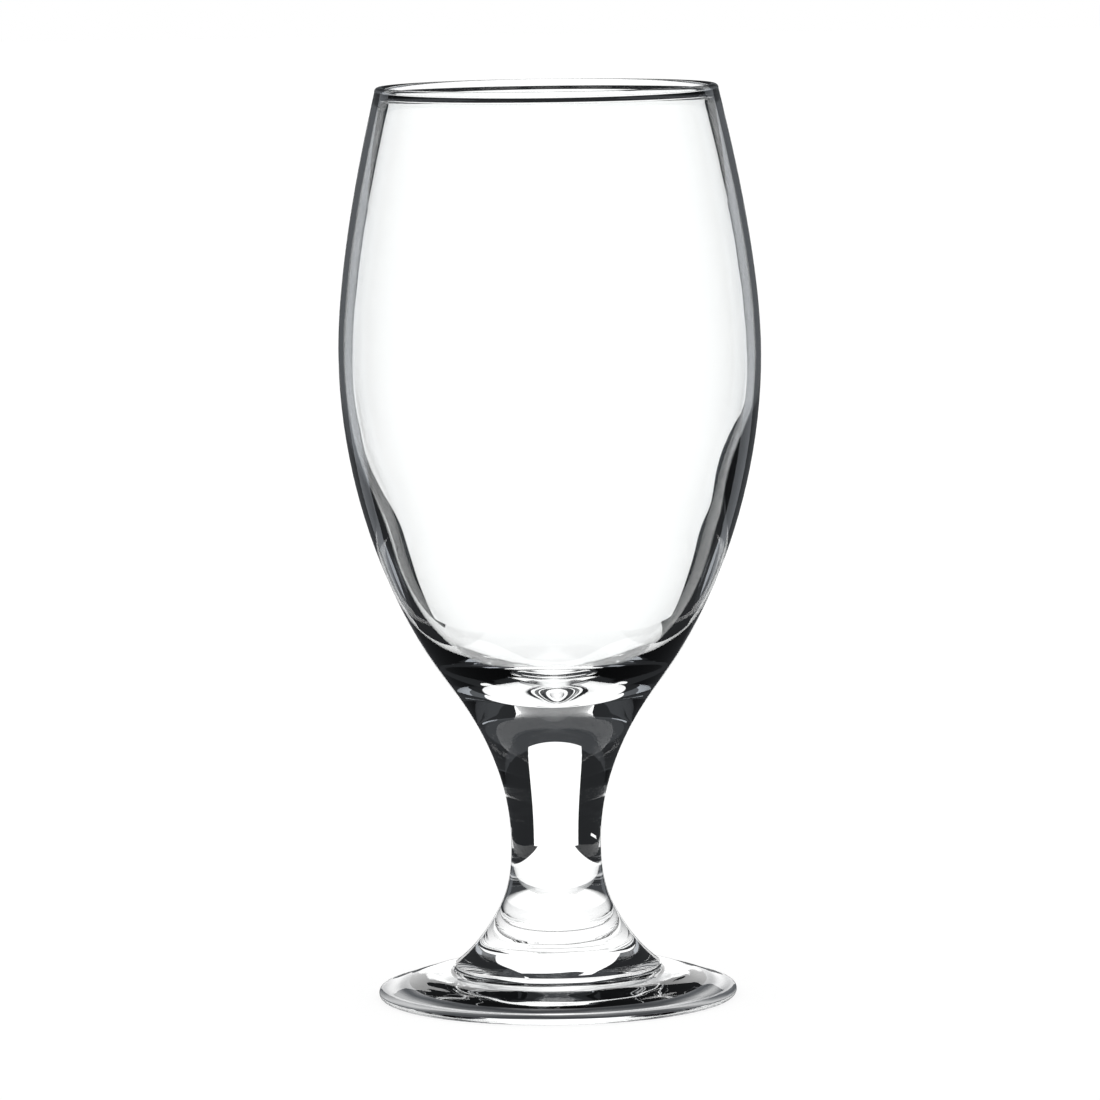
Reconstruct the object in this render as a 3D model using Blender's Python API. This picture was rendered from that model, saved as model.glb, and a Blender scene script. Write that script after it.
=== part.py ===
"""Tall stemmed beer glass: a blown bowl, a solid stem and a pressed foot.

The three gathers of glass are lathed about the Z axis. The glass stands on z = 0, in metres.
Each outline is a chain of smooth stretches between a few named stations, and each piece starts
where the piece under it ends.
"""

import math

import bpy
from mathutils import Vector
from mathutils.geometry import interpolate_bezier

# Foot: pressed disc with a flared hub
FOOT_DIAMETER = 0.0700
FOOT_HEIGHT = 0.0170
EDGE_THICKNESS = 0.0026
RING_DIAMETER = 0.0405
RING_HEIGHT = 0.0065
DISC_TOP_DIAMETER = 0.0500
DISC_TOP_HEIGHT = 0.0038
BEARING_WIDTH = 0.0032
KICK_UP = 0.0022

# Stem: solid waist between foot and bowl
STEM_LENGTH = 0.0317
ANKLE_DIAMETER = 0.0229
WAIST_DIAMETER = 0.0175
WAIST_HEIGHT = 0.0122
NECK_DIAMETER = 0.0260

# Bowl: thin at the mouth, heavy at the bottom
BOWL_HEIGHT = 0.1287
SHOULDER_DIAMETER = 0.0422
SHOULDER_HEIGHT = 0.0131
BELLY_DIAMETER = 0.0821
BELLY_HEIGHT = 0.0769
RIM_DIAMETER = 0.0666
BEAD_THICKNESS = 0.0019
BEAD_HEIGHT = 0.0032
WALL_AT_RIM = 0.0013
WALL_AT_BELLY = 0.0010
WALL_AT_TURN = 0.0013
TURN_HEIGHT = 0.0609
WALL_AT_HEEL = 0.0028
HEEL_HEIGHT = 0.0397
FLOOR_THICKNESS = 0.0130

# Lean of the outline at its stations, in degrees from upright, positive where it closes downwards
RIM_LEAN = -13.6
SHOULDER_LEAN = 37.0
NECK_LEAN = 24.0
ANKLE_LEAN = -28.5
RING_LEAN = -43.0
STEP_LEAN = -18.0
KICK_LEAN = 84.0

# Air left between two gathers at a fused seam
SEAM_GAP = 0.0003

# Shares of a stretch's length over which its upper and lower ends keep their directions
EVEN_CARRY = (0.35, 0.35)
BELLY_CARRY = (0.40, 0.25)
FLOOR_CARRY = (0.70, 0.22)

# Facets round the axis, and along each kind of stretch
ROUND_STEPS = 64
LONG_STRETCH = 10
SHORT_STRETCH = 5
EDGE_STEPS = 6

# Distance under which points on the axis are one
SAME_PLACE = 0.00001

# Colour of clear soda-lime glass and its polish
GLASS_COLOUR = (0.93, 0.96, 0.96, 1.0)
GLASS_ROUGHNESS = 0.02
GLASS_INDEX = 1.52

# Heights at which the pieces meet
STEM_BASE = FOOT_HEIGHT + SEAM_GAP
STEM_TOP = STEM_BASE + STEM_LENGTH
BOWL_BASE = STEM_TOP + SEAM_GAP
BOWL_TOP = BOWL_BASE + BOWL_HEIGHT


def station(diameter, height):
    """A point of the outline, at +X."""
    return Vector((diameter / 2, 0, height))


def downward(lean):
    """Direction in which an outline of this lean runs down."""
    angle = math.radians(lean)
    return Vector((-math.sin(angle), 0, -math.cos(angle)))


def stretch(start, start_lean, end, end_lean, pieces, carry=EVEN_CARRY):
    """Smooth run down from start to end, with the start left out."""
    length = (end - start).length
    leave = start + downward(start_lean) * length * carry[0]
    arrive = end - downward(end_lean) * length * carry[1]
    return interpolate_bezier(start, leave, arrive, end, pieces + 1)[1:]


def arc(centre, radius, first, last, pieces):
    """Circular run about centre between two angles in degrees, counted from +X towards +Z."""
    angles = (math.radians(first + (last - first) * i / pieces) for i in range(pieces + 1))
    return [centre + Vector((math.cos(a), 0, math.sin(a))) * radius for a in angles]


def point_at(outline, height):
    """Point and lean of a falling outline at a height."""
    for above, below in zip(outline, outline[1:]):
        if above.z >= height > below.z:
            share = (above.z - height) / (above.z - below.z)
            lean = math.degrees(math.atan2(above.x - below.x, above.z - below.z))
            return above.lerp(below, share), lean
    raise ValueError("height is outside the outline")


def foot_outline():
    """From the top of the hub down over the ring and the disc's edge to the hollow underside."""
    edge_radius = EDGE_THICKNESS / 2
    edge_centre = Vector((FOOT_DIAMETER / 2 - edge_radius, 0, edge_radius))
    ring = station(RING_DIAMETER, RING_HEIGHT)
    disc = station(DISC_TOP_DIAMETER, DISC_TOP_HEIGHT)
    edge = arc(edge_centre, edge_radius, 90, -90, EDGE_STEPS)
    fall = edge[0] - disc
    disc_lean = -math.degrees(math.atan2(fall.x, -fall.z))
    bearing = edge[-1] - Vector((BEARING_WIDTH, 0, 0))
    top = Vector((0, 0, FOOT_HEIGHT))
    ankle = station(ANKLE_DIAMETER, FOOT_HEIGHT)
    kick = Vector((0, 0, KICK_UP))
    rise = stretch(kick, -90, bearing, -KICK_LEAN, SHORT_STRETCH)
    outline = [top, ankle]
    outline += stretch(ankle, ANKLE_LEAN, ring, RING_LEAN, SHORT_STRETCH)
    outline += stretch(ring, STEP_LEAN, disc, disc_lean, SHORT_STRETCH)
    return outline + edge + [bearing] + rise[-2::-1] + [kick]


def stem_outline():
    """From the seam under the bowl down through the waist to the seam on the foot."""
    neck = station(NECK_DIAMETER, STEM_TOP)
    waist = station(WAIST_DIAMETER, STEM_BASE + WAIST_HEIGHT)
    ankle = station(ANKLE_DIAMETER, STEM_BASE)
    outline = [Vector((0, 0, STEM_TOP)), neck]
    outline += stretch(neck, NECK_LEAN, waist, 0, SHORT_STRETCH)
    outline += stretch(waist, 0, ankle, ANKLE_LEAN, SHORT_STRETCH)
    return outline + [Vector((0, 0, STEM_BASE))]


def bowl_outside():
    """From the bead's outer side down over the belly and the shoulder to the seam."""
    rim = station(RIM_DIAMETER, BOWL_TOP - BEAD_THICKNESS / 2)
    belly = station(BELLY_DIAMETER, BOWL_BASE + BELLY_HEIGHT)
    shoulder = station(SHOULDER_DIAMETER, BOWL_BASE + SHOULDER_HEIGHT)
    neck = station(NECK_DIAMETER, BOWL_BASE)
    outline = [rim]
    outline += stretch(rim, RIM_LEAN, belly, 0, LONG_STRETCH, BELLY_CARRY)
    outline += stretch(belly, 0, shoulder, SHOULDER_LEAN, LONG_STRETCH, BELLY_CARRY)
    outline += stretch(shoulder, SHOULDER_LEAN, neck, NECK_LEAN, SHORT_STRETCH)
    return outline


def bowl_inside(outside):
    """From the bead's inner side down the thin wall to the middle of the heavy floor."""
    bead = outside[0] - Vector((BEAD_THICKNESS, 0, 0))
    rim, rim_lean = point_at(outside, BOWL_TOP - BEAD_HEIGHT)
    rim = rim - Vector((WALL_AT_RIM, 0, 0))
    belly = station(BELLY_DIAMETER, BOWL_BASE + BELLY_HEIGHT) - Vector((WALL_AT_BELLY, 0, 0))
    turn_in, turn_lean = point_at(outside, BOWL_BASE + TURN_HEIGHT)
    turn_in = turn_in - Vector((WALL_AT_TURN, 0, 0))
    heel, heel_lean = point_at(outside, BOWL_BASE + HEEL_HEIGHT)
    heel = heel - Vector((WALL_AT_HEEL, 0, 0))
    floor = Vector((0, 0, BOWL_BASE + FLOOR_THICKNESS))
    outline = [bead]
    outline += stretch(bead, 0, rim, rim_lean, SHORT_STRETCH)
    outline += stretch(rim, rim_lean, belly, 0, LONG_STRETCH, BELLY_CARRY)
    outline += stretch(belly, 0, turn_in, turn_lean, SHORT_STRETCH)
    outline += stretch(turn_in, turn_lean, heel, heel_lean, SHORT_STRETCH)
    outline += stretch(heel, heel_lean, floor, 90, LONG_STRETCH, FLOOR_CARRY)
    return outline


def bowl_outline():
    """From the floor up the inside, over the rounded bead and down the outside."""
    outside = bowl_outside()
    inside = bowl_inside(outside)
    bead_radius = BEAD_THICKNESS / 2
    bead_centre = outside[0] - Vector((bead_radius, 0, 0))
    lip = arc(bead_centre, bead_radius, 180, 0, EDGE_STEPS)
    return inside[::-1] + lip[1:-1] + outside + [Vector((0, 0, BOWL_BASE))]


def clear_glass(name):
    """Polished clear glass for one piece."""
    material = bpy.data.materials.new(name)
    material.use_nodes = True
    shader = material.node_tree.nodes["Principled BSDF"]
    shader.inputs["Base Color"].default_value = GLASS_COLOUR
    shader.inputs["Roughness"].default_value = GLASS_ROUGHNESS
    shader.inputs["Metallic"].default_value = 0.0
    shader.inputs["IOR"].default_value = GLASS_INDEX
    shader.inputs["Transmission Weight"].default_value = 1.0
    return material


def turn(name, outline):
    """Lathe an outline about the Z axis into a closed, smooth piece of glass."""
    mesh = bpy.data.meshes.new(name)
    edges = [(i, i + 1) for i in range(len(outline) - 1)]
    mesh.from_pydata(outline, edges, [])
    mesh.materials.append(clear_glass(name + "_glass"))
    piece = bpy.data.objects.new(name, mesh)
    bpy.context.scene.collection.objects.link(piece)
    lathe = piece.modifiers.new("Lathe", "SCREW")
    lathe.axis = "Z"
    lathe.steps = ROUND_STEPS
    lathe.render_steps = ROUND_STEPS
    lathe.use_merge_vertices = True
    lathe.merge_threshold = SAME_PLACE
    lathe.use_smooth_shade = True
    return piece


def main():
    for old in list(bpy.data.objects):
        bpy.data.objects.remove(old)
    glass = bpy.data.objects.new("beer_glass", None)
    bpy.context.scene.collection.objects.link(glass)
    for name, outline in (("foot", foot_outline()), ("stem", stem_outline()), ("bowl", bowl_outline())):
        turn(name, outline).parent = glass


main()
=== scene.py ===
"""Tall clear beer glass on a white table, with a bright card behind it.

Each gather of glass is drawn as a half section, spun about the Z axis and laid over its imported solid.
The three gathers meet at two fused seams, where the glass runs on and nothing shows.
"""

import math

import bpy
from mathutils import Matrix, Vector, noise


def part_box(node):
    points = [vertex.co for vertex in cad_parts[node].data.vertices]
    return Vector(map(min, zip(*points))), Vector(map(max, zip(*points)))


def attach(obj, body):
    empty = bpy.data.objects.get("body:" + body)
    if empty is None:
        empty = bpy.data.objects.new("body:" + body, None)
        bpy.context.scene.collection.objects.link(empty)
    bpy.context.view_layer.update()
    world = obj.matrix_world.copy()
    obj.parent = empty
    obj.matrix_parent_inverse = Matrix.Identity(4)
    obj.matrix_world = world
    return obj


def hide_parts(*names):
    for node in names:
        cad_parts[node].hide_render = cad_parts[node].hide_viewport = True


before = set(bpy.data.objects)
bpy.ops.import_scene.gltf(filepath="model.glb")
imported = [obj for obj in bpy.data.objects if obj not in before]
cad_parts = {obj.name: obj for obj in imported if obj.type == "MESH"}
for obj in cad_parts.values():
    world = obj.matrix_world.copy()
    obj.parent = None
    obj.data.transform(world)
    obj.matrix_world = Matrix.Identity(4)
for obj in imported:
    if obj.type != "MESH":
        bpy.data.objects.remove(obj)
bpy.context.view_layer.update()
foot_low, foot_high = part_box("foot")
stem_low, stem_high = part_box("stem")
bowl_low, bowl_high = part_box("bowl")

bl_info = {
    "name": "Stemmed Beer Glass",
    "version": (1, 0, 0),
    "blender": (4, 5, 0),
    "location": "View3D > Sidebar > Beer Glass",
    "description": "Models a tall clear beer glass and the table it stands on",
    "category": "Add Mesh",
}

# Heights at which the gathers are fused
LOWER_SEAM = (foot_high.z + stem_low.z) / 2
UPPER_SEAM = (stem_high.z + bowl_low.z) / 2

# Radius of the disc that the glass stands on
FOOT_RADIUS = (foot_high.x - foot_low.x) / 2

# Directions in the half section
UP = Vector((0, 0, 1))
DOWN = Vector((0, 0, -1))
OUT = Vector((1, 0, 0))
IN = Vector((-1, 0, 0))

# Shares of a run's length over which its two ends keep their directions
EVEN = (0.35, 0.35)
FROM_RIM = (0.40, 0.25)
TO_RIM = (0.25, 0.40)
FROM_BASIN = (0.25, 0.16)

# Share of a tangent at which a Bezier handle makes a round quarter
ROUND_HANDLE = 0.5523

# Facets round the axis and along each run, the distance under which points are one, and the sharp angle
ROUND_STEPS = 160
RUN_STEPS = 24
SAME_PLACE = 1e-6
CREASE = math.radians(40)

# How soon a pressed field reaches its full depth inside its edge
FIELD_EDGE = 3

# Material slot of the fused seams
SEAM_SLOT = 1

# Side of the photograph that the camera is fitted to, in pixels, and the camera's sensor in millimetres
PHOTO_SIDE = 1100
SENSOR = 36

# Nearest and farthest place that the camera sees
CLIP_START = 0.1
CLIP_END = 100

# Sockets of the node that mixes two colours
MIX_SHARE = 0
MIX_FIRST = 6
MIX_SECOND = 7
MIX_RESULT = 2

# Fineness of the cords in the glass and of the waves of its surface
CORD_DETAIL = 4
WAVE_DETAIL = 1

# What the glass sees of the studio: strengths of the card, of the world and of the light and shade painted
# on the table
CARD = 1.3
BRIGHT = 1.2
WING = 0.53
REAR = 0.12
ROOM = 0.06
SHADE = 0.15
DARK = 0.02

# What the camera sees: the white room, the table's own glow and the grey paint that takes the shadow
WHITE_ROOM = 1
TABLE_GLOW = 0.83
TABLE_PAINT = (0.2, 0.2, 0.2, 1)

# Least count of mirrorings or of passes through glass, and the count that only both walls of the bowl give
ANY = 0.5
BOTH_WALLS = 3.5

# Dim panels far back, shown by the world and painted on the table beyond the card: their angles from
# straight back, and how far up their top is seen
WING_FROM = math.radians(32)
WING_TO = math.radians(48.5)
WING_TOP = 0.09

# Bright gaps at both sides: how wide and how far up they are seen
GAP_SIDE = 0.14
GAP_TOP = 0.05

# How far up the bright way beyond the card is seen to end, and the upper room to begin
PATH_TOP = 0.19
ROOM_FROM = 0.47

# Rings of shade under the foot
RINGS = {"Scale": 70, "Distortion": 3, "Detail": 2, "Detail Scale": 0.6}

# Shade under the sides of the disc: where it begins, how it rises sideways and what the rings change
SHADE_FROM = 0.016
SHADE_RISE = 50
SHADE_CHANGE = 0.45

# Deeper band round the front: its radii, where it begins along Y, its rise and what the rings change
BAND_FROM = 0.0272
BAND_TO = 0.0312
BAND_FRONT = -0.014
BAND_RISE = 90
BAND_CHANGE = 0.25

# Deeper shade that the hub mirrors: its radius, its start sideways, how that nears the middle, its rise
HUB_TO = 0.03
HUB_FROM = 0.0112
HUB_NEARS = 0.3
HUB_RISE = 350

# Colour of the dim parts of the studio, a little cool
COOL = (0.88, 0.93, 1.0, 1)
WHITE = (1, 1, 1, 1)


def length(name, description, default):
    """A size in metres that a user may change."""
    return bpy.props.FloatProperty(
        name=name, description=description, default=default, unit="LENGTH", precision=5
    )


def number(name, description, default, subtype="NONE"):
    """A plain number that a user may change."""
    return bpy.props.FloatProperty(name=name, description=description, default=default, subtype=subtype)


def angle(name, description, degrees):
    """An angle that a user may change."""
    return bpy.props.FloatProperty(
        name=name, description=description, default=math.radians(degrees), subtype="ANGLE"
    )


def colour(name, description, default):
    """A colour that a user may change."""
    return bpy.props.FloatVectorProperty(
        name=name, description=description, default=default, size=3, min=0, max=1, subtype="COLOR"
    )


class BowlSizes(bpy.types.PropertyGroup):
    """Sizes of the blown bowl."""

    rim_diameter: length("Rim Diameter", "Across the outside of the bead", 0.0666)
    bead: length("Bead", "Thickness of the rounded bead at the rim", 0.0018)
    bead_height: length("Bead Height", "Height over which the bead runs out into the wall", 0.0024)
    rim_wall: length("Rim Wall", "Wall under the bead", 0.0013)
    rim_lean: angle("Rim Lean", "Lean of the wall under the bead", -13.6)
    belly_diameter: length("Belly Diameter", "Across the widest place", bowl_high.x - bowl_low.x)
    belly_height: length("Belly Height", "Height of the widest place", 0.1262)
    belly_wall: length("Belly Wall", "Wall at the widest place", 0.0010)
    turn_diameter: length("Turn Diameter", "Across the inside where the wall begins to thicken", 0.07714)
    turn_height: length("Turn Height", "Height of that place", 0.1102)
    turn_lean: angle("Turn Lean", "Lean of the inside at that place", 10.5)
    heel_diameter: length("Heel Diameter", "Across the inside where the wall is heavy", 0.06397)
    heel_height: length("Heel Height", "Height of that place", 0.0899)
    heel_lean: angle("Heel Lean", "Lean of the inside at that place", 21.0)
    low_diameter: length("Low Diameter", "Across the inside where the wall turns into the floor", 0.04071)
    low_height: length("Low Height", "Height of that place", 0.06842)
    low_lean: angle("Low Lean", "Lean of the inside at that place", 42.5)
    basin_diameter: length("Basin Diameter", "Across the shallow basin of the floor", 0.01265)
    basin_height: length("Basin Height", "Height of the basin's edge", 0.06314)
    basin_lean: angle("Basin Lean", "Lean of the inside at the basin's edge", 72.0)
    floor_height: length("Floor Height", "Height of the middle of the inside", 0.06218)
    heavy_depth: length("Heavy Depth", "How much thicker the wall is where glass ran to one side", 0.0008)
    heavy_height: length("Heavy Height", "Height of that place, on the right", 0.1035)
    heavy_reach: length("Heavy Reach", "How far that place spreads up and down", 0.0140)
    heavy_spread: length("Heavy Spread", "How far it spreads round the bowl", 0.0300)
    dimple_depth: length("Dimple Depth", "Depth of the dimple that the tool left in the floor", 0.0013)
    dimple_aside: length("Dimple Aside", "How far the dimple sits to the right of the axis", 0.0006)
    dimple_front: length("Dimple Front", "How far the dimple sits before the axis", 0.0060)
    dimple_reach: length("Dimple Reach", "How far the dimple spreads", 0.0070)
    shoulder_diameter: length("Shoulder Diameter", "Across the outside over the stem", 0.0422)
    shoulder_height: length("Shoulder Height", "Height of that place", 0.0624)
    shoulder_lean: angle("Shoulder Lean", "Lean of the outside at that place", 37.0)


class StemSizes(bpy.types.PropertyGroup):
    """Sizes of the solid stem."""

    neck_diameter: length("Neck Diameter", "Across the seam under the bowl", 0.0260)
    neck_lean: angle("Neck Lean", "Lean at the seam under the bowl", 24.0)
    waist_diameter: length("Waist Diameter", "Across the narrowest place", 0.0175)
    waist_height: length("Waist Height", "Height of the narrowest place", 0.0295)
    ankle_diameter: length("Ankle Diameter", "Across the seam on the foot", 0.0229)
    ankle_lean: angle("Ankle Lean", "Lean at the seam on the foot", -28.5)


class FootSizes(bpy.types.PropertyGroup):
    """Sizes of the pressed foot."""

    diameter: length("Diameter", "Across the disc", foot_high.x - foot_low.x)
    edge: length("Edge", "Thickness of the rounded edge", 0.0021)
    ring_diameter: length("Ring Diameter", "Across the step ring under the hub", 0.0401)
    ring_height: length("Ring Height", "Height of the step ring", 0.0066)
    ring_lean: angle("Ring Lean", "Lean of the hub over the ring", -52.5)
    step_lean: angle("Step Lean", "Lean of the step under the ring", 2.6)
    disc_diameter: length("Disc Diameter", "Across the place where the step meets the disc", 0.0513)
    disc_height: length("Disc Height", "Height of that place", 0.00475)
    bearing: length("Bearing", "Width of the flat ring that the glass stands on", 0.0058)
    kick_up: length("Kick-Up", "Depth of the hollow underside", 0.0027)
    kick_lean: angle("Kick Lean", "Lean of the underside inside the bearing ring", 86.1)
    ripple_depth: length("Ripple Depth", "Depth of the streaks that the press left on the disc", 0.00015)
    streak_length: length("Streak Length", "Length of one streak round the disc", 0.0080)
    streak_width: length("Streak Width", "Width of one streak", 0.0022)


class GlassFinish(bpy.types.PropertyGroup):
    """Finish of the clear glass."""

    tint: colour("Tint", "Colour of the clear glass", (0.995, 0.998, 0.998))
    cord_tint: colour("Cord Tint", "Colour of the faint cords in it", (0.972, 0.984, 0.982))
    cords: number("Cords", "Cords in each metre", 45)
    waves: number("Waves", "Waves of the surface in each metre", 90)
    wave_depth: length("Wave Depth", "Depth of the waves that blowing and pressing leave", 0.000012)
    index: number("Index", "Index of refraction of soda-lime glass", 1.52)


class StageSizes(bpy.types.PropertyGroup):
    """Sizes of the table, its bright parts and the card behind the glass, and place of the camera."""

    table_side: length("Table Side", "Side of the square white table", 12.0)
    # Bounds of the light and shade painted on the table for the glass: no flags are built, and their shade
    # is painted dark
    strip_width: length("Strip Width", "Bright strip of table between the dark flags", 0.119)
    strip_spread: number("Strip Spread", "Half width of the strip for each metre towards the card", 0.29)
    painted_shade_start: length("Flag Start", "Where the flags begin along Y, beside the strip", -0.032)
    painted_shade_slope: number("Flag Slope", "How far the flags stand back for each metre sideways", 0.34)
    side_start: length("Side Start", "Distance from the axis at which the bright side strips begin", 0.15)
    side_spread: number("Side Spread", "How much wider the side strips get for each metre", 0.1)
    corner_end: length("Corner End", "Distance sideways at which the strip to the back corner ends", 0.50)
    mouth_start: length("Mouth Start", "Where the bright field that the mouth shows begins sideways", 0.225)
    mouth_end: length("Mouth End", "Where that field ends sideways", 0.284)
    mouth_width: length("Mouth Width", "Width of that field", 0.120)
    card_distance: length("Card Distance", "From the axis of the glass to the card behind it", 0.205)
    card_base: length("Card Base", "Width of the bright card on the table", 0.150)
    card_top: length("Card Top", "Width of the bright card at its top", 0.120)
    card_height: length("Card Height", "Height of the card", 0.171)
    path_spread: number("Path Spread", "Half width of the bright way beyond the card for each metre", 0.14)
    camera_distance: length("Camera Distance", "From the axis of the glass, along Y", 1.3342)
    camera_height: length("Camera Height", "Over the table", 0.2293)
    camera_drift: length("Camera Drift", "Sideways from the axis of the glass", -0.00045)
    camera_pitch: angle("Camera Pitch", "How far the camera looks down", 6.06)
    camera_roll: angle("Camera Roll", "Tilt of the camera about its own line of sight", -0.75)
    focal_pixels: number("Focal Pixels", "Focal length in pixels of the photograph", 6895, "PIXEL")


class Outline:
    """Half section of a turned piece in the XZ plane: one Bezier line from station to station."""

    def __init__(self, start):
        self.stations = [start]
        self.arriving = [start]
        self.leaving = []

    def run(self, end, leave, arrive):
        """Go on to end, past two handles."""
        self.leaving.append(leave)
        self.arriving.append(arrive)
        self.stations.append(end)

    def line(self, end):
        """Go straight on to end."""
        start = self.stations[-1]
        self.run(end, start.lerp(end, 1 / 3), start.lerp(end, 2 / 3))

    def curve(self, end, leave, arrive, carry=EVEN):
        """Go on to end, leaving and arriving in two directions."""
        start = self.stations[-1]
        span = (end - start).length
        self.run(end, start + leave * span * carry[0], end - arrive * span * carry[1])

    def quarter(self, end, corner):
        """Go round a quarter whose tangents meet at a corner."""
        start = self.stations[-1]
        self.run(end, start.lerp(corner, ROUND_HANDLE), end.lerp(corner, ROUND_HANDLE))

    def draw(self, name):
        """Make the outline an edge chain."""
        bpy.ops.object.select_all(action="DESELECT")
        bpy.ops.curve.primitive_bezier_curve_add(location=(0, 0, 0))
        line = bpy.context.object
        line.name = name
        spline = line.data.splines[0]
        spline.resolution_u = RUN_STEPS
        spline.bezier_points.add(len(self.stations) - len(spline.bezier_points))
        leaving = self.leaving + [self.stations[-1]]
        for point, place, before, after in zip(spline.bezier_points, self.stations, self.arriving, leaving):
            point.handle_left_type = point.handle_right_type = "FREE"
            point.co = place
            point.handle_left = before
            point.handle_right = after
        bpy.ops.object.convert(target="MESH")
        return bpy.context.object

    def turn(self, name):
        """Spin the outline about the Z axis into a closed, smooth piece."""
        piece = self.draw(name)
        bpy.ops.object.mode_set(mode="EDIT")
        bpy.ops.mesh.select_all(action="SELECT")
        bpy.ops.mesh.spin(steps=ROUND_STEPS, angle=math.tau, center=(0, 0, 0), axis=(0, 0, 1))
        bpy.ops.mesh.select_all(action="SELECT")
        bpy.ops.mesh.remove_doubles(threshold=SAME_PLACE)
        bpy.ops.mesh.normals_make_consistent(inside=False)
        bpy.ops.object.mode_set(mode="OBJECT")
        bpy.ops.object.shade_smooth_by_angle(angle=CREASE)
        return piece


def at(diameter, height):
    """A station of a half section."""
    return Vector((diameter / 2, 0, height))


def downward(lean):
    """Direction in which an outline of this lean runs down."""
    return Vector((-math.sin(lean), 0, -math.cos(lean)))


def bowl_outline(bowl, stem):
    """From the floor up the inside, over the bead and down the outside to the seam."""
    lip = Vector((0, 0, bowl.bead / 2))
    rim = at(bowl.rim_diameter, bowl_high.z - bowl.bead / 2)
    crown = rim + IN * bowl.bead / 2 + lip
    inner_rim = rim + IN * bowl.bead
    belly = at(bowl.belly_diameter, bowl.belly_height)
    shoulder = at(bowl.shoulder_diameter, bowl.shoulder_height)
    neck = at(stem.neck_diameter, UPPER_SEAM)
    bead_run = (bowl.bead_height - bowl.bead / 2) / math.cos(bowl.rim_lean)
    under_bead = rim + downward(bowl.rim_lean) * bead_run + IN * bowl.rim_wall
    turn = at(bowl.turn_diameter, bowl.turn_height)
    heel = at(bowl.heel_diameter, bowl.heel_height)
    low = at(bowl.low_diameter, bowl.low_height)
    basin = at(bowl.basin_diameter, bowl.basin_height)
    outline = Outline(Vector((0, 0, bowl.floor_height)))
    outline.curve(basin, OUT, -downward(bowl.basin_lean))
    outline.curve(low, -downward(bowl.basin_lean), -downward(bowl.low_lean), FROM_BASIN)
    outline.curve(heel, -downward(bowl.low_lean), -downward(bowl.heel_lean))
    outline.curve(turn, -downward(bowl.heel_lean), -downward(bowl.turn_lean))
    outline.curve(belly + IN * bowl.belly_wall, -downward(bowl.turn_lean), UP)
    outline.curve(under_bead, UP, -downward(bowl.rim_lean), TO_RIM)
    outline.curve(inner_rim, -downward(bowl.rim_lean), UP)
    outline.quarter(crown, inner_rim + lip)
    outline.quarter(rim, rim + lip)
    outline.curve(belly, downward(bowl.rim_lean), DOWN, FROM_RIM)
    outline.curve(shoulder, DOWN, downward(bowl.shoulder_lean), FROM_RIM)
    outline.curve(neck, downward(bowl.shoulder_lean), downward(stem.neck_lean))
    outline.line(Vector((0, 0, UPPER_SEAM)))
    return outline


def stem_outline(stem):
    """From the seam under the bowl down through the waist to the seam on the foot."""
    neck = at(stem.neck_diameter, UPPER_SEAM)
    waist = at(stem.waist_diameter, stem.waist_height)
    ankle = at(stem.ankle_diameter, LOWER_SEAM)
    outline = Outline(Vector((0, 0, UPPER_SEAM)))
    outline.line(neck)
    outline.curve(waist, downward(stem.neck_lean), DOWN)
    outline.curve(ankle, DOWN, downward(stem.ankle_lean))
    outline.line(Vector((0, 0, LOWER_SEAM)))
    return outline


def foot_outline(foot, stem):
    """From the seam under the stem over the ring and the disc's edge to the hollow underside."""
    edge = foot.edge / 2
    ankle = at(stem.ankle_diameter, LOWER_SEAM)
    ring = at(foot.ring_diameter, foot.ring_height)
    disc = at(foot.disc_diameter, foot.disc_height)
    brim = at(foot.diameter, edge)
    edge_top = at(foot.diameter - foot.edge, foot.edge)
    edge_base = at(foot.diameter - foot.edge, 0)
    bearing = edge_base + IN * foot.bearing
    fall = (edge_top - disc).normalized()
    outline = Outline(Vector((0, 0, LOWER_SEAM)))
    outline.line(ankle)
    outline.curve(ring, downward(stem.ankle_lean), downward(foot.ring_lean))
    outline.curve(disc, downward(foot.step_lean), fall)
    outline.line(edge_top)
    outline.quarter(brim, at(foot.diameter, foot.edge))
    outline.quarter(edge_base, at(foot.diameter, 0))
    outline.line(bearing)
    outline.curve(Vector((0, 0, foot.kick_up)), -downward(-foot.kick_lean), IN)
    return outline


class Shade:
    """One socket of a shader. Arithmetic and comparisons on it add Math nodes to its tree."""

    def __init__(self, tree, socket=None):
        self.tree = tree
        self.socket = socket

    def node(self, kind, settings=None, sockets=None, output=0):
        """Add a node, its settings first and then the values or links of its sockets."""
        added = self.tree.nodes.new(kind)
        for name, value in (settings or {}).items():
            setattr(added, name, value)
        for name, value in (sockets or {}).items():
            if isinstance(value, Shade):
                self.tree.links.new(value.socket, added.inputs[name])
            else:
                added.inputs[name].default_value = value
        return Shade(self.tree, added.outputs[output])

    def twin(self, output):
        """Another output of the same node."""
        return Shade(self.tree, self.socket.node.outputs[output])

    def math(self, operation, *values):
        """One Math node on this socket and other values."""
        return self.node("ShaderNodeMath", {"operation": operation}, dict(enumerate((self,) + values)))

    def __add__(self, other):
        return self.math("ADD", other)

    __radd__ = __add__

    def __mul__(self, other):
        return self.math("MULTIPLY", other)

    __rmul__ = __mul__

    def __sub__(self, other):
        return self.math("SUBTRACT", other)

    def __rsub__(self, other):
        return (self * -1) + other

    def __abs__(self):
        return self.math("ABSOLUTE")

    def __lt__(self, other):
        return self.math("LESS_THAN", other)

    def __gt__(self, other):
        return self.math("GREATER_THAN", other)

    def __and__(self, other):
        return self.math("MINIMUM", other)

    def __or__(self, other):
        return self.math("MAXIMUM", other)


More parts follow.
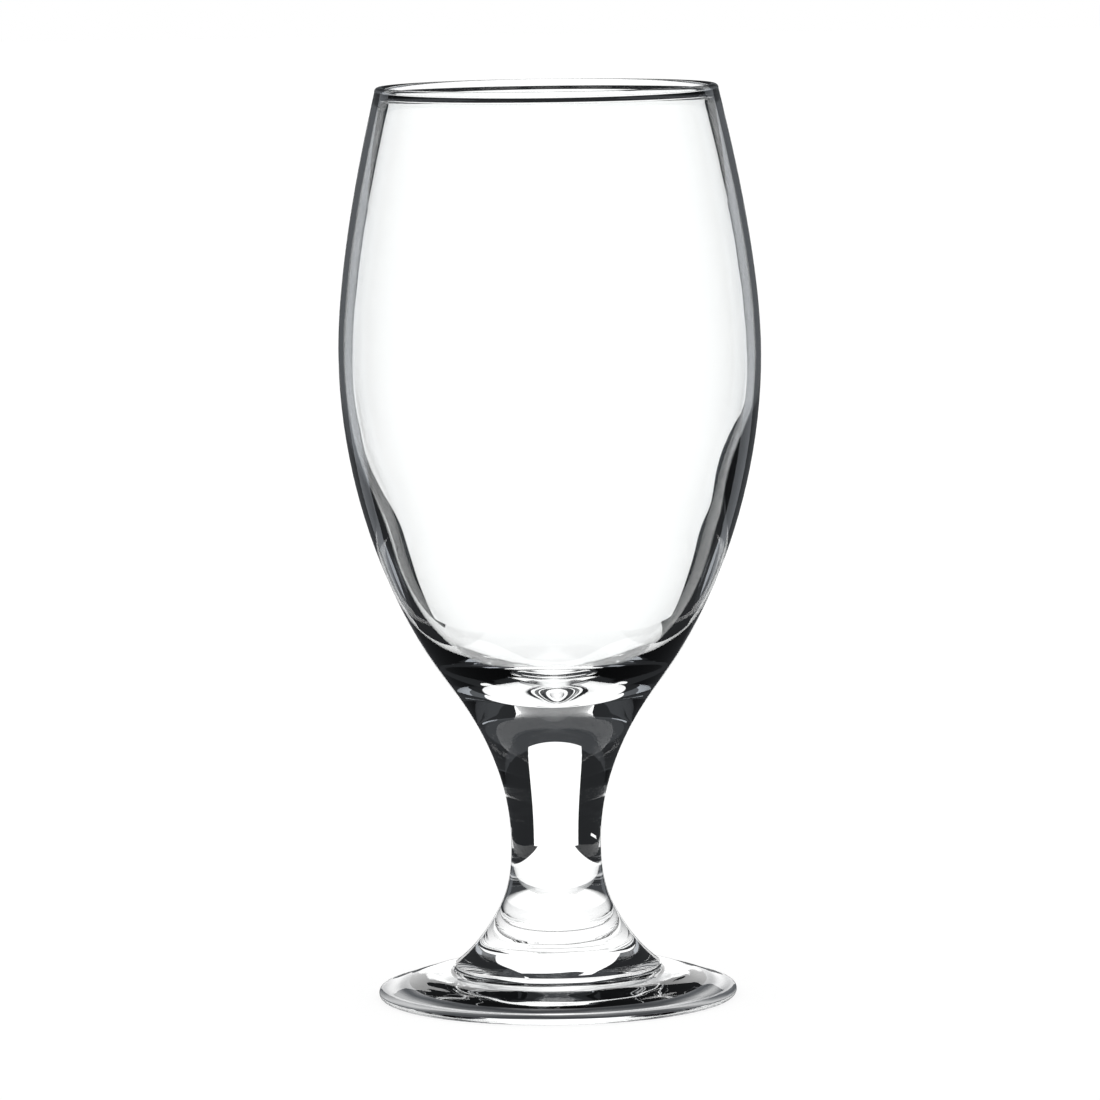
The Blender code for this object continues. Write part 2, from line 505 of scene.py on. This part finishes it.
def clear_glass(finish):
    """Clear, fire-polished soda-lime glass."""
    material = bpy.data.materials.get("polished_glass")
    if material:
        return material
    material = bpy.data.materials.new("polished_glass")
    material.use_nodes = True
    start = Shade(material.node_tree)
    place = start.node("ShaderNodeTexCoord", output="Object")
    cords = start.node(
        "ShaderNodeTexNoise",
        sockets={"Vector": place, "Scale": finish.cords, "Detail": CORD_DETAIL},
    )
    waves = start.node(
        "ShaderNodeTexNoise",
        sockets={"Vector": place, "Scale": finish.waves, "Detail": WAVE_DETAIL},
    )
    tint = start.node(
        "ShaderNodeMix",
        {"data_type": "RGBA"},
        {MIX_SHARE: cords, MIX_FIRST: (*finish.tint, 1), MIX_SECOND: (*finish.cord_tint, 1)},
        MIX_RESULT,
    )
    bump = start.node("ShaderNodeBump", sockets={"Height": waves, "Distance": finish.wave_depth})
    shader = material.node_tree.nodes["Principled BSDF"]
    shader.inputs["Roughness"].default_value = 0.0
    shader.inputs["IOR"].default_value = finish.index
    shader.inputs["Transmission Weight"].default_value = 1.0
    material.node_tree.links.new(tint.socket, shader.inputs["Base Color"])
    material.node_tree.links.new(bump.socket, shader.inputs["Normal"])
    return material


def swell(distance, reach):
    """Smooth share that falls from one at a place to zero at its reach."""
    near = max(0, 1 - distance / reach)
    return near * near * (3 - 2 * near)


def press(piece, share, depth, axis):
    """Push the surface of a piece along an axis, as far as a share of each corner says."""
    group = piece.vertex_groups.new(name="pressed")
    for corner in piece.data.vertices:
        group.add([corner.index], share(corner), "REPLACE")
    push = piece.modifiers.new("Press", "DISPLACE")
    push.vertex_group = group.name
    push.direction = axis
    push.strength = depth
    push.mid_level = 0
    bpy.ops.object.modifier_apply(modifier=push.name)
    piece.vertex_groups.clear()


def faces_axis(corner):
    """Whether a corner lies on a surface that looks towards the Z axis."""
    return corner.normal.xy.dot(corner.co.xy) < 0


def thicken_side(piece, bowl):
    """Let the wall be heavier on the right, where the glass ran while it was soft."""
    place = Vector((bowl.belly_diameter / 2, 0, bowl.heavy_height))
    flat = Vector((1, bowl.heavy_reach / bowl.heavy_spread, 1))
    press(
        piece,
        lambda corner: faces_axis(corner) * swell(((corner.co - place) * flat).length, bowl.heavy_reach),
        -bowl.heavy_depth,
        "X",
    )


def dimple_floor(piece, bowl):
    """Leave a small dimple in the floor, a little off the axis."""
    place = Vector((bowl.dimple_aside, -bowl.dimple_front))
    press(
        piece,
        lambda corner: (corner.normal.z > 0) * swell((corner.co.xy - place).length, bowl.dimple_reach),
        -bowl.dimple_depth,
        "Z",
    )


def ripple_disc(piece, foot):
    """Leave the round streaks of the press on the disc and on its hollow underside."""
    inner, outer = foot.ring_diameter / 2, foot.diameter / 2 - foot.edge
    middle, reach = (inner + outer) / 2, (outer - inner) / 2
    hollow = outer - foot.bearing

    def share(corner):
        place = corner.co.xy
        radius = place.length
        if corner.normal.z > 0:
            field = (corner.co.z < foot.ring_height) * swell(abs(radius - middle), reach)
        else:
            field = (corner.co.z > SAME_PLACE) * swell(radius, hollow)
        way = Vector((*(place / foot.streak_length), radius / foot.streak_width))
        return min(1, FIELD_EDGE * field) * (1 + noise.noise(way)) / 2

    press(piece, share, foot.ripple_depth, "Z")


def fused_seam():
    """The place where two gathers are one glass: nothing shows there."""
    material = bpy.data.materials.get("fused_seam")
    if material:
        return material
    material = bpy.data.materials.new("fused_seam")
    material.use_nodes = True
    shader = material.node_tree.nodes["Principled BSDF"]
    shader.inputs["Alpha"].default_value = 0.0
    return material


def select_faces(piece, wanted):
    """Select only the faces of a piece that a test wants."""
    mesh = piece.data
    for part in (*mesh.vertices, *mesh.edges):
        part.select = False
    for face in mesh.polygons:
        face.select = wanted(face)


def finish_gather(piece, node, seams, finish):
    """Dress a turned piece in clear glass, fuse its seams and let it stand for its solid."""
    piece.data.materials.append(clear_glass(finish))
    piece.data.materials.append(fused_seam())
    heights = {corner.index: corner.co.z for corner in piece.data.vertices}
    select_faces(
        piece,
        lambda face: any(
            all(abs(heights[i] - seam) < SAME_PLACE for i in face.vertices) for seam in seams
        ),
    )
    piece.active_material_index = SEAM_SLOT
    bpy.ops.object.mode_set(mode="EDIT")
    bpy.ops.object.material_slot_assign()
    bpy.ops.object.mode_set(mode="OBJECT")
    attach(piece, "root")
    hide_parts(node)


class BlowBowl(bpy.types.Operator):
    """Blow the bowl: a thin barrel with a beaded rim and a heavy floor"""

    bl_idname = "beer_glass.blow_bowl"
    bl_label = "Blow Bowl"

    def execute(self, context):
        scene = context.scene
        piece = bowl_outline(scene.glass_bowl, scene.glass_stem).turn("clear_bowl")
        thicken_side(piece, scene.glass_bowl)
        dimple_floor(piece, scene.glass_bowl)
        finish_gather(piece, "bowl", (UPPER_SEAM,), scene.glass_finish)
        return {"FINISHED"}


class DrawStem(bpy.types.Operator):
    """Draw the stem: a short solid waist between bowl and foot"""

    bl_idname = "beer_glass.draw_stem"
    bl_label = "Draw Stem"

    def execute(self, context):
        scene = context.scene
        piece = stem_outline(scene.glass_stem).turn("clear_stem")
        finish_gather(piece, "stem", (UPPER_SEAM, LOWER_SEAM), scene.glass_finish)
        return {"FINISHED"}


class PressFoot(bpy.types.Operator):
    """Press the foot: a round disc with a stepped hub and a hollow underside"""

    bl_idname = "beer_glass.press_foot"
    bl_label = "Press Foot"

    def execute(self, context):
        scene = context.scene
        piece = foot_outline(scene.glass_foot, scene.glass_stem).turn("clear_foot")
        ripple_disc(piece, scene.glass_foot)
        finish_gather(piece, "foot", (LOWER_SEAM,), scene.glass_finish)
        return {"FINISHED"}


class LightPath:
    """Tests of the light that comes to the stage."""

    def __init__(self, start):
        glossy = start.node("ShaderNodeLightPath", output="Is Glossy Ray")
        passes = glossy.twin("Transmission Depth")
        mirrored = glossy.twin("Glossy Depth") > ANY
        self.by_glass = glossy | glossy.twin("Is Transmission Ray")
        self.straight = 1 - mirrored
        self.mirrored = mirrored
        self.outside = mirrored & (passes < ANY)
        self.both_walls = passes > BOTH_WALLS


def mix(start, share, without, full):
    """Two shaders mixed by a share."""
    return start.node("ShaderNodeMixShader", sockets={0: share, 1: without, 2: full})


def glow(start, strength, kind="ShaderNodeEmission"):
    """Plain light from a surface, a little cool where it is dim."""
    tone = COOL if strength <= WING else WHITE
    return start.node(kind, sockets={"Color": tone, "Strength": strength})


def background(start, strength):
    """The same light from far away."""
    return glow(start, strength, "ShaderNodeBackground")


def stage_material(name):
    """An empty material that doesn't light other things by itself."""
    material = bpy.data.materials.new(name)
    material.use_nodes = True
    material.cycles.emission_sampling = "NONE"
    return material


def show(start, shader, output="Material Output"):
    """Use a shader as the surface."""
    start.tree.links.new(shader.socket, start.tree.nodes[output].inputs["Surface"])


def wing(aside, back):
    """One in the directions of the dim panels that stand far back, else zero."""
    return (aside > back * math.tan(WING_FROM)) & (aside < back * math.tan(WING_TO))


def rear(aside, back):
    """One in the directions between the dim panels, else zero."""
    return aside < back * math.tan(WING_FROM)


def foot_shades(start, light, place, aside, y):
    """Rings of shade under the sides of the disc, and deeper shade round its front and at the hub."""
    radius = start.node("ShaderNodeVectorMath", {"operation": "LENGTH"}, {0: place}, "Value")
    rings = start.node(
        "ShaderNodeTexWave",
        {"wave_type": "RINGS", "rings_direction": "Z"},
        {"Vector": place, **RINGS},
        "Fac",
    )
    sides = (radius > SHADE_FROM) & (radius < FOOT_RADIUS) & (aside * SHADE_RISE)
    sides = sides & (rings * SHADE_CHANGE + (1 - SHADE_CHANGE))
    band = (radius > BAND_FROM) & (radius < BAND_TO) & ((BAND_FRONT - y) * BAND_RISE)
    band = band & (rings * BAND_CHANGE + (1 - BAND_CHANGE))
    hub = light.mirrored & (radius < HUB_TO) & ((aside + radius * HUB_NEARS - HUB_FROM) * HUB_RISE)
    return sides, band | hub


def lay_table(stage):
    """A plain white table with the shadow of the glass. The glass sees light and shade painted on it:
    fields that glow bright, and painted shade on both sides where flags would stand.
    """
    bpy.ops.object.select_all(action="DESELECT")
    bpy.ops.mesh.primitive_plane_add(size=stage.table_side)
    table = bpy.context.object
    table.name = "white_table"
    material = stage_material("white_table")
    start = Shade(material.node_tree)
    light = LightPath(start)
    place = start.node("ShaderNodeTexCoord", output="Object")
    x = start.node("ShaderNodeSeparateXYZ", sockets={0: place})
    y = x.twin("Y")
    aside = abs(x)
    # Painted light for the glass: these fields glow bright, and elsewhere the table glows dark, painted as
    # the shade of flags that are not built
    strip = (aside < (y * stage.strip_spread | stage.strip_width / 2)) & (y < stage.card_distance)
    front = y < aside * stage.painted_shade_slope + stage.painted_shade_start
    sides = (abs(y) < aside * stage.side_spread + stage.strip_width / 2) & (aside > stage.side_start)
    # Fields towards the back corner, which the mouth and the belly show from the front corner
    diagonal = abs(x + y)
    mouth = (diagonal < stage.mouth_width / 2) & (aside > stage.mouth_start) & (aside < stage.mouth_end)
    belly = (diagonal < stage.strip_width) & (aside < stage.corner_end) & light.both_walls
    corner = (y > x) & (belly | mouth)
    path = (y > stage.card_distance) & (aside < y * stage.path_spread)
    bright = strip | (front | sides | corner | path) & light.straight
    # Painted light beyond the card: mirrored rays see the table glow with the dim panels far back
    far = light.mirrored & (y > stage.card_distance)
    seen = mix(start, bright, glow(start, DARK), glow(start, BRIGHT))
    seen = mix(start, light.outside, seen, glow(start, ROOM))
    shade, deep_shade = foot_shades(start, light, place, aside, y)
    seen = mix(start, shade, seen, glow(start, SHADE))
    seen = mix(start, deep_shade, seen, glow(start, ROOM))
    seen = mix(start, far & rear(aside, y), seen, glow(start, REAR))
    seen = mix(start, far & wing(aside, y), seen, glow(start, WING))
    paint = start.node("ShaderNodeBsdfDiffuse", sockets={"Color": TABLE_PAINT})
    plain = start.node("ShaderNodeAddShader", sockets={0: glow(start, TABLE_GLOW), 1: paint})
    show(start, mix(start, light.by_glass, plain, seen))
    table.data.materials.append(material)


def hang_card(stage):
    """A bright card behind the glass, which only the glass sees."""
    bpy.ops.object.select_all(action="DESELECT")
    bpy.ops.mesh.primitive_plane_add(
        size=1, location=(0, stage.card_distance, stage.card_height / 2), rotation=(math.pi / 2, 0, 0)
    )
    card = bpy.context.object
    card.name = "bright_card"
    bpy.ops.transform.resize(value=(stage.card_base, 1, stage.card_height))
    bpy.ops.object.transform_apply(location=True, rotation=True, scale=True)
    for part in (*card.data.edges, *card.data.polygons):
        part.select = False
    for corner in card.data.vertices:
        corner.select = corner.co.z > stage.card_height / 2
    bpy.ops.object.mode_set(mode="EDIT")
    bpy.ops.transform.resize(value=(stage.card_top / stage.card_base, 1, 1))
    bpy.ops.object.mode_set(mode="OBJECT")
    card.visible_camera = card.visible_diffuse = card.visible_shadow = False
    material = stage_material("bright_card")
    start = Shade(material.node_tree)
    show(start, glow(start, CARD))
    card.data.materials.append(material)


def light_studio(scene, spread):
    """Plain white light from all round. The glass sees a dim room with a bright gap at both sides."""
    world = bpy.data.worlds.new("studio")
    world.use_nodes = True
    start = Shade(world.node_tree)
    light = LightPath(start)
    way = start.node("ShaderNodeTexCoord", output="Generated")
    x = start.node("ShaderNodeSeparateXYZ", sockets={0: way})
    y, z = x.twin("Y"), x.twin("Z")
    low = light.mirrored & (z < WING_TOP)
    room = mix(start, (z > ROOM_FROM) | light.outside, background(start, DARK), background(start, ROOM))
    room = mix(start, rear(abs(x), y) & low, room, background(start, REAR))
    room = mix(start, wing(abs(x), y) & low, room, background(start, WING))
    gaps = (abs(y) < GAP_SIDE) & (z < GAP_TOP)
    path = (abs(x) < y * spread) & (z < PATH_TOP)
    room = mix(start, (gaps | path) & light.straight, room, background(start, BRIGHT))
    show(start, mix(start, light.by_glass, background(start, WHITE_ROOM), room), "World Output")
    scene.world = world


def place_camera(scene, stage):
    """The camera at the photograph's viewing angle."""
    camera = bpy.data.objects.new("camera", bpy.data.cameras.new("camera"))
    scene.collection.objects.link(camera)
    camera.data.sensor_width = SENSOR
    camera.data.lens = SENSOR * stage.focal_pixels / PHOTO_SIDE
    place = Matrix.Translation((stage.camera_drift, -stage.camera_distance, stage.camera_height))
    tilt = Matrix.Rotation(math.pi / 2 - stage.camera_pitch, 4, "X")
    camera.matrix_world = place @ tilt @ Matrix.Rotation(stage.camera_roll, 4, "Z")
    camera.data.clip_start = CLIP_START
    camera.data.clip_end = CLIP_END
    scene.camera = camera


class SetStage(bpy.types.Operator):
    """Lay the table, hang the card, light the studio and place the camera"""

    bl_idname = "beer_glass.set_stage"
    bl_label = "Set Stage"

    def execute(self, context):
        scene = context.scene
        scene.view_settings.view_transform = "Standard"
        lay_table(scene.glass_stage)
        hang_card(scene.glass_stage)
        light_studio(scene, scene.glass_stage.path_spread)
        place_camera(scene, scene.glass_stage)
        return {"FINISHED"}


class GlassPanel(bpy.types.Panel):
    """Lists the steps that make the glass"""

    bl_idname = "VIEW3D_PT_beer_glass"
    bl_label = "Beer Glass"
    bl_space_type = "VIEW_3D"
    bl_region_type = "UI"
    bl_category = "Beer Glass"

    def draw(self, context):
        for step in STEPS:
            self.layout.operator(step.bl_idname)


GROUPS = {
    "glass_bowl": BowlSizes,
    "glass_stem": StemSizes,
    "glass_foot": FootSizes,
    "glass_finish": GlassFinish,
    "glass_stage": StageSizes,
}
STEPS = (PressFoot, DrawStem, BlowBowl, SetStage)


def register():
    for group in GROUPS.values():
        bpy.utils.register_class(group)
    for name, group in GROUPS.items():
        setattr(bpy.types.Scene, name, bpy.props.PointerProperty(type=group))
    for step in (*STEPS, GlassPanel):
        bpy.utils.register_class(step)


def unregister():
    for step in (GlassPanel, *STEPS[::-1]):
        bpy.utils.unregister_class(step)
    for name, group in GROUPS.items():
        delattr(bpy.types.Scene, name)
        bpy.utils.unregister_class(group)


def main():
    register()
    bpy.ops.beer_glass.press_foot()
    bpy.ops.beer_glass.draw_stem()
    bpy.ops.beer_glass.blow_bowl()
    bpy.ops.beer_glass.set_stage()


if __name__ == "__main__":
    main()
